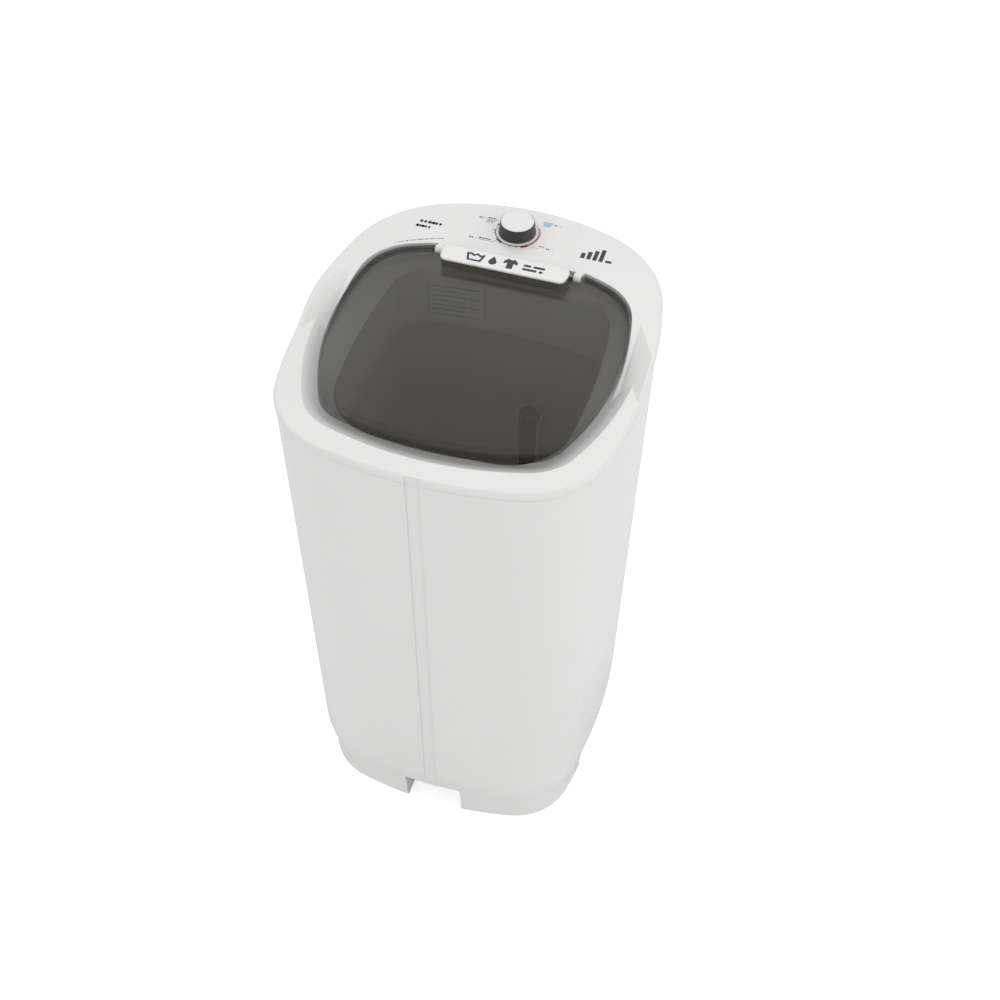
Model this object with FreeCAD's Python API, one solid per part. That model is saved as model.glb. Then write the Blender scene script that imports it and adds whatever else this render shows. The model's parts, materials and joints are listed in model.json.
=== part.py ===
"""Semi-automatic top-load tub washer, 10 kg class, with a rear timer console.

Millimetres, +Z up, front at -Y. The origin is on the floor, under the middle of the plan.
Every closed plan outline of the casing, lid, collar and tub is eight tangent arcs, so an inward
offset only shortens the radii and a drafted wall is a loft between two offsets.
"""
import FreeCAD, Part
import math
import os
from FreeCAD import Vector

os.makedirs("parts", exist_ok=True)

# ---- casing ----
SEAM_Z = 848.0            # joint between the cabinet and the top ring
DRAFT = 0.022             # inward lean of the cabinet wall, mm per mm going down
WALL = 3.0
FOOT_H = 79.0             # height of the gaps between the feet
FOOT_INSET = 10.0         # how far the feet stand in from the drafted wall
FOOT_ROUND = 13.0         # rounding under the feet
PAD_T, PAD_R, PAD_STUD = 2.5, 14.0, 4.0    # rubber pads under the feet
SOLE_T = 9.0              # thickness of the feet's soles
WAIST_Z, ANKLE_Z = 118.0, 34.0    # the wall turns in towards the feet between these heights
TURN_STEPS = 6
LEG_DEEP = 58.0           # leg thickness, wall to inner face
FRONT_GAP = 96.0          # width of the gap between the front feet
SIDE_GAP_FRONT = -108.0   # the side gap's front and rear ends
SIDE_GAP_REAR = 130.0
STRIP_W = 20.0            # pressed strip down the middle of the front
STRIP_D = 1.6
PROUD = 1.0               # the top ring overhangs the cabinet by this much
FAR = 400.0               # half-size of cutters that must reach past the casing
COVER_SLOT, COVER_PITCH = 70.0, 24    # half-length and spacing of the base cover's air slots

# ---- top ring ----
LIP_Z = 862.0
CONSOLE_Z = 880.0
CONSOLE_GROW = 3.6        # outward lean of the console's outer wall
STEP_X, STEP_Y = 215.0, 4.0      # inner end of the foot of the ramp from lip to console
STEP_RUN_X, STEP_RUN_Y = 85.0, 170.0
STEP_LEAN = 75.0          # length of the ramp along Y
STEP_SKEW = 4.6           # shift along Y that thickens the ramp by one unit
GROOVE_H, GROOVE_D = 1.6, 1.2    # shadow groove along the seam under the ring
DISH_Z = 848.0            # lid seat, lowest part of the dish around the lid
DISH_RUN = 21.0           # width of the slope between lip and lid
LID_GAP = 2.0
LEDGE_Z = 832.0           # edge of the wash opening
HINGE_WALL_Y = 158.0      # straight console front wall behind the hinge
HINGE_BAY = 112.0         # half-width of that straight wall
EDGE_R = 5.0              # rounding of the ring's outer top edges
RIM_X, RIM_Y = 70.0, 90.0     # fixing points along the ends and the sides of the rim
BOSS_R, BOSS_HOLE = 4.4, 1.9
SCREW_R = 1.9
SCREW_PLAY = 0.1
SHAFT_HOLE = 8.0          # hole in the console for the timer's shaft

# ---- lid and hinge ----
# These heights are the lid's own, before it is tilted about its front rim.
LID_TOP = 870.5
LID_RIM = 869.0
LID_LOW = 856.0
LID_WALL = 2.6
LID_RISE = 11.0           # the rear rim is this much higher than the front rim
PIVOT_Y, PIVOT_Z = 146.0, 870.0    # hinge axis
BARREL_R = 6.5
PIN_R = 3.0
PIN_LEN = 32.0
PIN_PLAY = 0.08
BLOCK_FRONT, BLOCK_REAR = 111.0, 141.5
BLOCK_HALF_FRONT, BLOCK_HALF_REAR = 92.5, 96.5
PLATE_TOP = 887.5
PLATE_T = 3.0
LUG_IN, LUG_OUT = 99.5, 110.5    # inner and outer face of the ring's hinge lugs
BLOCK_SCREW_X, BLOCK_SCREW_Y = 70.0, 121.0
BLOCK_BOSS_H = 11.5

# ---- collar, tub ----
COLLAR_LOW = 735.0
COLLAR_T = 2.5
TUB_RIM = 800.0
TUB_FLOOR = 250.0
TUB_T = 3.0
TUB_DRAFT = 0.03
GASKET_T = 3.0
FLANGE_W = 18.0
SCREW_LINE = 13.0         # fixing screws stand this far outside the wash opening
COLLAR_FLANGE_Z = TUB_RIM + GASKET_T
COLLAR_DRAFT = 0.02
TUB_SET = -5.0            # the tub's mouth stands outside the wash opening
TUB_ROUND = 22.0          # rounding between the tub's floor and wall
LABEL_T = 0.4
LABEL_LEFT, LABEL_RIGHT = -128.0, -34.0

# ---- drive ----
SPIN_X, SPIN_Y = 0.0, -20.0      # pulsator axis
MOTOR_X, MOTOR_Y = -138.0, -20.0  # motor axis
BELT_Z = 114.0
BELT_H = 9.0
BELT_T = 5.0
BIG_PITCH_R = 78.0
SMALL_PITCH_R = 26.0      # three turns of the motor to one of the pulsator
BELT_PLAY = 0.3
SHAFT_R = 6.0
PULSATOR_R = 122.0
BUSH_PLAY = 0.05
BUSH_R, BUSH_H = 10.0, 22.0
SEAL_H = 8.0
SHAFT_LOW, SHAFT_HIGH = 96.0, 284.0
HOUSING_LOW, HOUSING_TOP = 132.0, TUB_FLOOR - TUB_T
HOUSING_R, HOUSING_NECK, HOUSING_FLANGE = 17.0, 20.0, 48.0
HOUSING_FLANGE_T = 5.0
HOUSING_BOLT_LINE = 40.0
HUB_Z = 258.0             # underside of the pulsator
HUB_H = 29.0              # pulsator thickness at its hub
HUB_SCREW_R = 2.5
VANE_LEAN = 9             # slope of the top of the pulsator's vanes, degrees
WHEEL_RIM_T = 2.5         # thickness of the pulleys' flanges
NUT_H = 5.0

# ---- motor and capacitor ----
MOTOR_SHAFT_R = 6.0
MOTOR_LOW, MOTOR_HIGH = 134.0, 224.0
MOTOR_R = 58.0
ROTOR_R, STATOR_BORE = 30.0, 31.0
CAP_H = 18.0              # height of the motor's end caps
BEARING_R = 13.0
EAR_R, EAR_HOLE, EAR_T = 66.0, 7.0, 6.0
BOLT_R = 3.0
MOUNT_T = 6.0
TRAY_T = 3.0
TRAY_Z = MOTOR_LOW - MOUNT_T - TRAY_T
TRAY_HALF = 76.0
CAN_X, CAN_Y, CAN_Z, CAN_R, CAN_H = 150.0, -60.0, 150.0, 20.0, 78.0

# ---- timer dial ----
KNOB_X, KNOB_Y = -8.0, 218.0
KNOB_R = 28.0
KNOB_TOP = 902.0
KNOB_GAP = 0.8
KNOB_CAP_R = 24.6
KNOB_CAP_T = 3.0
KNOB_STEP = 1.4           # the cap stands this far above its skirt
KNOB_SLOPE = 2.6
DIAL_R, DIAL_T = 31.5, 1.2
TIMER_TOP = CONSOLE_Z - WALL
TIMER_SHAFT_R = 3.0
TIMER_SHAFT_DEEP = 31.0
TIMER_SCREW_X = 21.0
SHAFT_END = KNOB_TOP - 8  # top of the timer's shaft, inside the knob

# ---- lint filter ----
FILTER_X, FILTER_W = 41.0, 33.0
FILTER_TOP, FILTER_LOW = 604.0, 390.0
FILTER_BACK = 145.0
FILTER_DEEP = 12.0
GUIDE_T = 2.5
GUIDE_PLAY = 0.4
FRAME_W = 5.0             # width of the filter frame's side bars

# ---- drain and wiring ----
DRAIN_X, DRAIN_Y, DRAIN_R = 112.0, 92.0, 14.0
DRAIN_STUB = 12.0
STUB_WALL = 2.5
HOSE_T, HOSE_BEND = 3.0, 42.0
HOSE_END = 34.0           # the hose stops this far in front of the rear wall
CLIP_BORE, CLIP_T, CLIP_W = DRAIN_STUB + HOSE_T + 0.4, 1.2, 8.0
SPIGOT_X, SPIGOT_Z, SPIGOT_R = 110.0, 128.0, 12.5
GLAND_X, GLAND_Z, GLAND_HOLE = -120.0, 150.0, 8.0
GLAND_BORE = 4.0
HARNESS_R, HARNESS_BEND = 4.0, 16.0
CLIP_HEIGHTS = (330.0, 480.0, 620.0)


class Outline:
    """Plan outline of eight tangent arcs, symmetric about x = 0."""

    def __init__(self, half, front, rear, r_front, r_side, r_rear, r_cf, r_cr, y_side):
        self.half, self.front, self.rear = half, front, rear
        self.r_front, self.r_side, self.r_rear = r_front, r_side, r_rear
        self.r_cf, self.r_cr = r_cf, r_cr
        self.c_front = Vector(0, -front + r_front, 0)
        self.c_side = Vector(half - r_side, y_side, 0)
        self.c_rear = Vector(0, rear - r_rear, 0)
        self.c_cf = meet(self.c_front, r_front - r_cf, self.c_side, r_side - r_cf, -1)
        self.c_cr = meet(self.c_rear, r_rear - r_cr, self.c_side, r_side - r_cr, 1)

    def wire(self, inset, z):
        """Closed wire at height z, moved inwards by inset."""
        arcs = []
        chain = [(self.c_cf, self.c_front, self.r_cf, self.c_side, self.r_side),
                 (self.c_cr, self.c_side, self.r_side, self.c_rear, self.r_rear)]
        touch = [on_circle(self.c_front, self.c_cf, self.r_front - inset),
                 on_circle(self.c_side, self.c_cf, self.r_side - inset),
                 on_circle(self.c_side, self.c_cr, self.r_side - inset),
                 on_circle(self.c_rear, self.c_cr, self.r_rear - inset)]
        mid = [on_circle(self.c_cf, self.c_cf * 2 - between(touch[0], touch[1], self.c_cf),
                         inset - self.r_cf),
               self.c_side + Vector(self.r_side - inset, 0, 0),
               on_circle(self.c_cr, self.c_cr * 2 - between(touch[2], touch[3], self.c_cr),
                         inset - self.r_cr)]
        lift = Vector(0, 0, z)
        flip = lambda p: Vector(-p.x, p.y, p.z)
        bottom = Vector(0, -self.front + inset, 0)
        top = Vector(0, self.rear - inset, 0)
        arcs.append((flip(touch[0]), bottom, touch[0]))
        for k in range(3):
            arcs.append((touch[k], mid[k], touch[k + 1]))
        arcs.append((touch[3], top, flip(touch[3])))
        for k in (2, 1, 0):
            arcs.append((flip(touch[k + 1]), flip(mid[k]), flip(touch[k])))
        return Part.Wire([Part.Arc(a + lift, m + lift, b + lift).toShape() for a, m, b in arcs])


def meet(c1, r1, c2, r2, side):
    """Crossing of two circles about c1 and c2, on the +x side, front (-1) or rear (1)."""
    gap = c2 - c1
    dist = gap.Length
    along = (dist * dist + r1 * r1 - r2 * r2) / (2 * dist)
    high = math.sqrt(r1 * r1 - along * along)
    e = gap * (1 / dist)
    n = Vector(-e.y, e.x, 0)
    both = [c1 + e * along + n * high, c1 + e * along - n * high]
    return max(both, key=lambda p: p.x + side * p.y)


def on_circle(centre, through, radius):
    """Point at radius from centre, in the direction of through."""
    d = through - centre
    return centre + d * (radius / d.Length)


def between(a, b, centre):
    """A point beyond the chord's middle, as seen from the centre."""
    return centre + ((a + b) * 0.5 - centre) * 2


SHELL = Outline(250.0, 279.0, 276.0, 640.0, 694.0, 361.0, 127.0, 168.0, -27.0)
LID = Outline(208.0, 222.8, 172.5, 458.0, 390.0, 390.0, 60.0, 82.5, -6.0)
MOUTH = Outline(175.0, 200.0, 155.0, 900.0, 900.0, 900.0, 90.0, 46.0, -20.0)


def loft(*sections):
    """Solid through (outline, inset, z) sections, straight between each pair."""
    parts = []
    for (o1, i1, z1), (o2, i2, z2) in zip(sections, sections[1:]):
        parts.append(Part.makeLoft([o1.wire(i1, z1), o2.wire(i2, z2)], True, True))
    body = parts[0]
    for p in parts[1:]:
        body = body.fuse(p)
    return body.removeSplitter() if len(parts) > 1 else body


def box(x0, y0, z0, x1, y1, z1):
    return Part.makeBox(x1 - x0, y1 - y0, z1 - z0, Vector(x0, y0, z0))


def cyl(x, y, z, radius, height, axis=(0, 0, 1)):
    return Part.makeCylinder(radius, height, Vector(x, y, z), Vector(*axis))


def cone(x, y, z, r0, r1, height, axis=(0, 0, 1)):
    return Part.makeCone(r0, r1, height, Vector(x, y, z), Vector(*axis))


def tube(x, y, z, outer, inner, height, axis=(0, 0, 1)):
    return cyl(x, y, z, outer, height, axis).cut(cyl(x, y, z, inner, height, axis))


def prism(points, z0, z1):
    wire = Part.makePolygon([Vector(x, y, z0) for x, y in points + points[:1]])
    return Part.Face(wire).extrude(Vector(0, 0, z1 - z0))


def round_box(x0, y0, z0, x1, y1, z1, r):
    """Box with its upright edges rounded."""
    b = box(x0, y0, z0, x1, y1, z1)
    upright = [e for e in b.Edges if abs(e.Vertexes[0].Z - e.Vertexes[1].Z) > (z1 - z0) / 2]
    return b.makeFillet(r, upright)


def pipe(points, radius, bend):
    """Round bar along a polyline whose corners are bent to a radius."""
    pts = [Vector(*p) for p in points]
    edges, start = [], pts[0]
    for before, corner, after in zip(pts, pts[1:], pts[2:]):
        a = (before - corner).normalize()
        b = (after - corner).normalize()
        half = a.getAngle(b) / 2
        back = bend / math.tan(half)
        p, q = corner + a * back, corner + b * back
        centre = corner + (a + b).normalize() * (bend / math.sin(half))
        mid = centre + (corner - centre).normalize() * bend
        edges.append(Part.makeLine(start, p))
        edges.append(Part.Arc(p, mid, q).toShape())
        start = q
    edges.append(Part.makeLine(start, pts[-1]))
    path = Part.Wire(edges)
    ring = Part.Wire(Part.makeCircle(radius, pts[0], pts[1] - pts[0]))
    return path.makePipeShell([ring], True, True)


def fuse(shapes):
    body = shapes[0]
    for s in shapes[1:]:
        body = body.fuse(s)
    return body


def write(name, shape):
    shape.exportStep("parts/" + name + ".step")


def wall_y(z, rear=False):
    """Distance from y = 0 to the cabinet's outside face, at height z."""
    inset = DRAFT * (SEAM_Z - z)
    return (SHELL.rear if rear else SHELL.front) - inset


# ------------------------------------------------------------------ casing
LEG_ZONES = [(FRONT_GAP / 2, -FAR, FAR, SIDE_GAP_FRONT), (-FAR, -FAR, -FRONT_GAP / 2, SIDE_GAP_FRONT),
             (FRONT_GAP / 2, SIDE_GAP_REAR, FAR, FAR), (-FAR, SIDE_GAP_REAR, -FRONT_GAP / 2, FAR)]


def casing_solid(inset, low):
    """Outside form of the cabinet, moved inwards by inset and cut off at height low."""
    lean = lambda z: inset + DRAFT * (SEAM_Z - z)
    turn_in = lambda z: FOOT_INSET * (1 - math.cos(math.pi * (WAIST_Z - z) / (WAIST_Z - ANKLE_Z))) / 2
    levels = [WAIST_Z - k * (WAIST_Z - ANKLE_Z) / TURN_STEPS for k in range(TURN_STEPS + 1)]
    kept = [(SHELL, lean(z) + turn_in(z), z) for z in levels if z > low + 1]
    foot = (SHELL, lean(low) + (FOOT_INSET if low < ANKLE_Z else turn_in(low)), low)
    return loft((SHELL, lean(SEAM_Z), SEAM_Z), *kept, foot)


def cabinet_shell():
    outer = casing_solid(0, PAD_T)
    rim = [e for e in outer.Edges if e.BoundBox.ZMax < PAD_T + 0.01]
    outer = outer.makeFillet(FOOT_ROUND, rim)
    inner = casing_solid(WALL, FOOT_H + WALL)
    lean = DRAFT * SEAM_Z
    core = loft((SHELL, lean + LEG_DEEP, -1), (SHELL, lean + LEG_DEEP, FOOT_H + WALL))
    below = box(-FAR, -FAR, -1, FAR, FAR, FOOT_H)
    legs = fuse([box(x0, y0, -1, x1, y1, FOOT_H) for x0, y0, x1, y1 in LEG_ZONES])
    shell = outer.cut(inner).cut(core).cut(below.cut(legs))
    hollow = casing_solid(WALL, WALL).cut(
        loft((SHELL, lean + LEG_DEEP - WALL, 0), (SHELL, lean + LEG_DEEP - WALL, FOOT_H + WALL)))
    rooms = fuse([box(x0 + WALL, y0 + WALL, PAD_T + SOLE_T, x1 - WALL, y1 - WALL, FOOT_H + 2 * WALL)
                  for x0, y0, x1, y1 in LEG_ZONES])
    shell = shell.cut(hollow.common(rooms)).cut(front_strip(0)).cut(rear_holes())
    for x, y in foot_spots():
        shell = shell.cut(cyl(x, y, 0, PAD_STUD, PAD_T + SOLE_T + 1))
    return shell


def front_strip(extra):
    """Cutter for the pressed strip, following the lean of the front wall."""
    z0, z1 = FOOT_H - 10, SEAM_Z + 30
    half = STRIP_W / 2 + extra
    faces = []
    for z in (z0, z1):
        y = -wall_y(z)
        pts = [Vector(-half, y - 20, z), Vector(half, y - 20, z),
               Vector(half, y + STRIP_D, z), Vector(-half, y + STRIP_D, z)]
        faces.append(Part.makePolygon(pts + pts[:1]))
    return Part.makeLoft(faces, True, True)


def rear_holes():
    return cyl(GLAND_X, 200, GLAND_Z, GLAND_HOLE, 100, (0, 1, 0)).fuse(
        cyl(SPIGOT_X, 200, SPIGOT_Z, SPIGOT_R, 100, (0, 1, 0)))


def foot_spots():
    """Pad centres, one in each leg."""
    inset = DRAFT * SEAM_Z + LEG_DEEP - PAD_R - 6
    spots = []
    for centre, radius, lean in ((SHELL.c_cf, SHELL.r_cf, -50), (SHELL.c_cr, SHELL.r_cr, 50)):
        a = math.radians(lean)
        x = centre.x + (radius - inset) * math.cos(a)
        y = centre.y + (radius - inset) * math.sin(a)
        spots += [(x, y), (-x, y)]
    return spots


def foot_pads():
    """Four rubber pads, each with a stud through the leg's sole."""
    pads = []
    for x, y in foot_spots():
        pads.append(cyl(x, y, 0, PAD_R, PAD_T).fuse(cyl(x, y, PAD_T, PAD_STUD, SOLE_T)))
    return Part.makeCompound(pads)


def bottom_cover():
    z = FOOT_H + WALL
    lean = DRAFT * (SEAM_Z - z) + WALL + FOOT_INSET
    plate = loft((SHELL, lean, z), (SHELL, lean, z + WALL))
    slots = [round_box(-COVER_SLOT, y, z - 1, COVER_SLOT, y + 8, z + WALL + 1, 3.9)
             for y in range(-60, 61, COVER_PITCH)]
    return fuse_cut(plate, slots)


def fuse_cut(body, tools):
    for t in tools:
        body = body.cut(t)
    return body


# ------------------------------------------------------------------ top ring
def lip_zone(z_low, back):
    """Everything above z_low in front of the slanted console step, moved back by back."""
    x_out, y_out = STEP_X + STEP_RUN_X, STEP_Y - STEP_RUN_Y
    lean = STEP_LEAN / (CONSOLE_Z - LIP_Z)
    wires = []
    for z in (z_low, CONSOLE_Z + 20):
        shift = back + lean * (z - LIP_Z)
        pts = [Vector(-x_out, -FAR, z), Vector(x_out, -FAR, z), Vector(x_out, y_out + shift, z),
               Vector(STEP_X, STEP_Y + shift, z), Vector(-STEP_X, STEP_Y + shift, z),
               Vector(-x_out, y_out + shift, z)]
        wires.append(Part.makePolygon(pts + pts[:1]))
    return Part.makeLoft(wires, True, True)


def lid_well(d):
    """Space for the lid; the console keeps a straight wall behind the hinge."""
    well = loft((LID, -LID_GAP - d, DISH_Z - d), (LID, -LID_GAP - 1.5 - d, CONSOLE_Z + 1))
    return well.cut(box(d - HINGE_BAY, HINGE_WALL_Y + d, TUB_RIM, HINGE_BAY - d, FAR, PLATE_TOP))


def dish_slope(d):
    """Slope from the lip down to the lid seat, in front of the console only."""
    slope = loft((LID, -LID_GAP - d, DISH_Z - d), (LID, -LID_GAP - DISH_RUN - d, LIP_Z - d),
                 (LID, -LID_GAP - DISH_RUN - d - 3, LIP_Z + 1))
    return slope.common(lip_zone(DISH_Z - 2 * WALL, STEP_SKEW * d))


def ring_form(d):
    """Upper form of the ring; d > 0 gives the hollow that leaves a wall of thickness d."""
    body = loft((SHELL, d - PROUD, SEAM_Z - d), (SHELL, d - CONSOLE_GROW, CONSOLE_Z - d))
    body = body.cut(lip_zone(LIP_Z - d, STEP_SKEW * d))
    if not d:
        body = soften(body)
    return body.cut(lid_well(d)).cut(dish_slope(d))


def soften(body):
    """Round the outer top edges of the lip, the ramps and the console."""
    def on_top(e):
        b = e.BoundBox
        flat = b.ZMax - b.ZMin < 0.01
        high = abs(b.ZMin - LIP_Z) < 0.01 or abs(b.ZMin - CONSOLE_Z) < 0.01
        ramp = b.ZMin > LIP_Z - 0.01 and b.XMin * b.XMax > (STEP_X + 1) ** 2
        return flat and high and e.Curve.TypeId == "Part::GeomCircle" or ramp and not flat
    return body.makeFillet(EDGE_R, [e for e in body.Edges if on_top(e)])


def rim_spots(outline, inset, z):
    """Eight fixing points around an outline: two on each side."""
    f, r, a = outline.front - inset, outline.rear - inset, outline.half - inset
    near_y, far_y = -f + RIM_X ** 2 / (2 * outline.r_front), r - RIM_X ** 2 / (2 * outline.r_rear)
    side_x = a - RIM_Y ** 2 / (2 * outline.r_side)
    ends = [(sx * RIM_X, y) for sx in (-1, 1) for y in (near_y, far_y)]
    sides = [(sx * side_x, SPIN_Y + sy * RIM_Y) for sx in (-1, 1) for sy in (-1, 1)]
    return [(x, y, z) for x, y in ends + sides]


def funnel(d):
    """Sloping ledge under the lid, from the lid seat down to the wash opening."""
    return loft((LID, -LID_GAP - d, SEAM_Z + 0.5), (LID, -LID_GAP - d, DISH_Z - d),
                (MOUTH, -d, LEDGE_Z - d))


def top_ring():
    ring = ring_form(0).cut(ring_form(WALL))
    ledge = funnel(WALL).cut(funnel(0)).cut(loft((MOUTH, 0, 820), (MOUTH, 0, 834)))
    ledge = ledge.cut(lid_well(0)).cut(dish_slope(0))
    bay = box(-HINGE_BAY, HINGE_WALL_Y, 834, HINGE_BAY, 178, 850).cut(
        box(WALL - HINGE_BAY, HINGE_WALL_Y + WALL, TUB_RIM, HINGE_BAY - WALL, FAR, PLATE_TOP))
    step = loft((SHELL, 0, SEAM_Z), (SHELL, 0, SEAM_Z + WALL)).cut(
        loft((SHELL, 2 * WALL, SEAM_Z - 1), (SHELL, 2 * WALL, SEAM_Z + WALL + 1)))
    tongue = loft((SHELL, WALL + 0.4, SEAM_Z - 12), (SHELL, WALL + 0.4, SEAM_Z + 1)).cut(
        loft((SHELL, 2 * WALL, SEAM_Z - 13), (SHELL, 2 * WALL, SEAM_Z + 2)))
    ring = fuse([ring, ledge, bay, step, tongue])
    for x, y, z in rim_spots(MOUTH, -SCREW_LINE, COLLAR_FLANGE_Z + COLLAR_T):
        boss = cyl(x, y, z, BOSS_R, SEAM_Z - 2 - z).cut(funnel(0)).cut(cyl(x, y, z, BOSS_HOLE, 8))
        ring = ring.fuse(boss)
    for side in (-1, 1):
        ring = ring.fuse(hinge_lug(side))
    ring = ring.cut(cyl(KNOB_X, KNOB_Y, 860, SHAFT_HOLE, 40))
    for x, y in timer_screw_spots():
        ring = ring.cut(cyl(x, y, 860, SCREW_R + SCREW_PLAY, 40))
    groove = loft((SHELL, -5, SEAM_Z - 0.1), (SHELL, -5, SEAM_Z + GROOVE_H)).cut(
        loft((SHELL, GROOVE_D, SEAM_Z - 1), (SHELL, GROOVE_D, SEAM_Z + GROOVE_H + 1)))
    return ring.cut(groove).cut(front_strip(0).cut(ring_form(STRIP_D)))


def lid_tilt():
    """Angle of the lid's plane, in degrees."""
    return math.degrees(math.asin(LID_RISE / (LID.front + LID.rear)))


def tilted(shape):
    """A piece of the lid, turned from the lid's level frame to where it lies."""
    shape.rotate(Vector(0, -LID.front, LID_RIM), Vector(1, 0, 0), lid_tilt())
    return shape


def hinge_axis():
    """The hinge axis's y and z with the lid tilted."""
    spot = tilted(Part.Vertex(0, PIVOT_Y, PIVOT_Z)).Point
    return spot.y, spot.z


def hinge_lug(side):
    """Lug that carries one hinge pin, standing out from the console's front wall."""
    x0 = LUG_IN if side > 0 else -LUG_OUT
    wide = LUG_OUT - LUG_IN
    y, z = hinge_axis()
    lug = cyl(x0, y, z, BARREL_R, wide, (1, 0, 0))
    lug = lug.fuse(box(x0, y, z - BARREL_R, x0 + wide, HINGE_WALL_Y + 1, CONSOLE_Z))
    return lug.cut(cyl(x0 - 1, y, z, PIN_R + PIN_PLAY, wide + 2, (1, 0, 0)))


def tub_collar():
    """White sleeve below the ring's opening, with a flange for the tub screws."""
    low, top = COLLAR_LOW, LEDGE_Z - WALL
    lean = COLLAR_DRAFT * (top - low)
    wall = loft((MOUTH, lean - COLLAR_T, low), (MOUTH, -COLLAR_T, top)).cut(
        loft((MOUTH, lean, low - 0.01), (MOUTH, 0, top + 0.01)))
    z = COLLAR_FLANGE_Z
    flange = loft((MOUTH, -FLANGE_W, z), (MOUTH, -FLANGE_W, z + COLLAR_T)).cut(
        loft((MOUTH, -1.5, z - 1), (MOUTH, -1.5, z + COLLAR_T + 1)))
    body = wall.fuse(flange)
    return drill(body, rim_spots(MOUTH, -SCREW_LINE, z))


def drill(body, spots):
    for x, y, z in spots:
        body = body.cut(cyl(x, y, z - 5, SCREW_R + SCREW_PLAY, 12))
    return body


def tub_inset(z):
    return TUB_SET + TUB_DRAFT * (TUB_RIM - z)


def tub_gasket():
    z = TUB_RIM
    ring = loft((MOUTH, -FLANGE_W, z), (MOUTH, -FLANGE_W, z + GASKET_T)).cut(
        loft((MOUTH, TUB_SET, z - 1), (MOUTH, TUB_SET, z + GASKET_T + 1)))
    return drill(ring, rim_spots(MOUTH, -SCREW_LINE, z))


def wash_tub():
    low = TUB_FLOOR
    outer = loft((MOUTH, tub_inset(low) - TUB_T, low - TUB_T), (MOUTH, TUB_SET - TUB_T, TUB_RIM))
    inner = loft((MOUTH, tub_inset(low), low), (MOUTH, TUB_SET, TUB_RIM + 0.01))
    foot = [e for e in outer.Edges if e.BoundBox.ZMax < low]
    floor = [e for e in inner.Edges if e.BoundBox.ZMax < low + 1]
    outer = outer.makeFillet(TUB_ROUND + TUB_T, foot)
    inner = inner.makeFillet(TUB_ROUND, floor)
    rim = loft((MOUTH, -FLANGE_W, TUB_RIM - TUB_T), (MOUTH, -FLANGE_W, TUB_RIM))
    body = outer.fuse(rim).cut(inner)
    body = body.cut(cyl(SPIN_X, SPIN_Y, low - 10, HOUSING_NECK, 20))
    body = body.cut(cyl(DRAIN_X, DRAIN_Y, low - 10, DRAIN_R, 20))
    for x, y in housing_screw_spots():
        body = body.cut(cyl(x, y, low - 10, SCREW_R + SCREW_PLAY, 20))
    return drill(body, rim_spots(MOUTH, -SCREW_LINE, TUB_RIM - TUB_T))


def housing_screw_spots():
    return [(SPIN_X + HOUSING_BOLT_LINE * math.cos(a), SPIN_Y + HOUSING_BOLT_LINE * math.sin(a))
            for a in [math.radians(45 + 90 * k) for k in range(4)]]


def shaft_housing():
    """Flanged tube bolted under the tub; its neck stands in the tub's hole."""
    body = cyl(SPIN_X, SPIN_Y, HOUSING_LOW, HOUSING_R, HOUSING_TOP - HOUSING_LOW)
    body = body.fuse(cyl(SPIN_X, SPIN_Y, HOUSING_TOP - HOUSING_FLANGE_T, HOUSING_FLANGE, HOUSING_FLANGE_T))
    body = body.fuse(cyl(SPIN_X, SPIN_Y, HOUSING_TOP, HOUSING_NECK, TUB_T + 2))
    for k in range(6):
        rib = box(0, -2, HOUSING_LOW + 30, 40, 2, HOUSING_TOP - 4)
        rib.rotate(Vector(0, 0, 0), Vector(0, 0, 1), 60 * k)
        rib.translate(Vector(SPIN_X, SPIN_Y, 0))
        body = body.fuse(rib)
    body = body.cut(cyl(SPIN_X, SPIN_Y, HOUSING_LOW - 1, BUSH_R, 200))
    for x, y in housing_screw_spots():
        body = body.cut(cyl(x, y, HOUSING_TOP - 12, SCREW_R + SCREW_PLAY, 20))
    return body


def bush(z):
    return tube(SPIN_X, SPIN_Y, z, BUSH_R, SHAFT_R + BUSH_PLAY, BUSH_H)


def shaft_seal():
    z = HOUSING_TOP + TUB_T + 2 - SEAL_H
    return tube(SPIN_X, SPIN_Y, z, BUSH_R, SHAFT_R + BUSH_PLAY, SEAL_H)


def pulsator_shaft():
    body = cyl(SPIN_X, SPIN_Y, SHAFT_LOW, SHAFT_R, SHAFT_HIGH - SHAFT_LOW)
    return body.cut(cyl(SPIN_X, SPIN_Y, SHAFT_HIGH - 14, HUB_SCREW_R, 15))


def pulsator():
    """Low dished disc with a domed hub and four raised vanes."""
    z = HUB_Z
    disc = cyl(SPIN_X, SPIN_Y, z, PULSATOR_R, 6)
    disc = disc.fuse(cone(SPIN_X, SPIN_Y, z + 6, PULSATOR_R - 18, 30, 9))
    disc = disc.fuse(cone(SPIN_X, SPIN_Y, z + 15, 30, 18, 14))
    for k in range(4):
        vane = round_box(14, -7, z + 4, PULSATOR_R - 10, 7, z + 26, 6.9)
        slant = box(0, -20, 0, 200, 20, 60)
        slant.rotate(Vector(0, 0, 0), Vector(0, 1, 0), VANE_LEAN)
        slant.translate(Vector(14, 0, z + 28))
        vane = vane.cut(slant)
        vane.rotate(Vector(0, 0, 0), Vector(0, 0, 1), 90 * k + 20)
        vane.translate(Vector(SPIN_X, SPIN_Y, 0))
        disc = disc.fuse(vane)
    disc = disc.cut(cyl(SPIN_X, SPIN_Y, z - 1, SHAFT_R, SHAFT_HIGH - z + 1))
    return disc.cut(cyl(SPIN_X, SPIN_Y, z, HUB_SCREW_R + SCREW_PLAY, 60))


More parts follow.
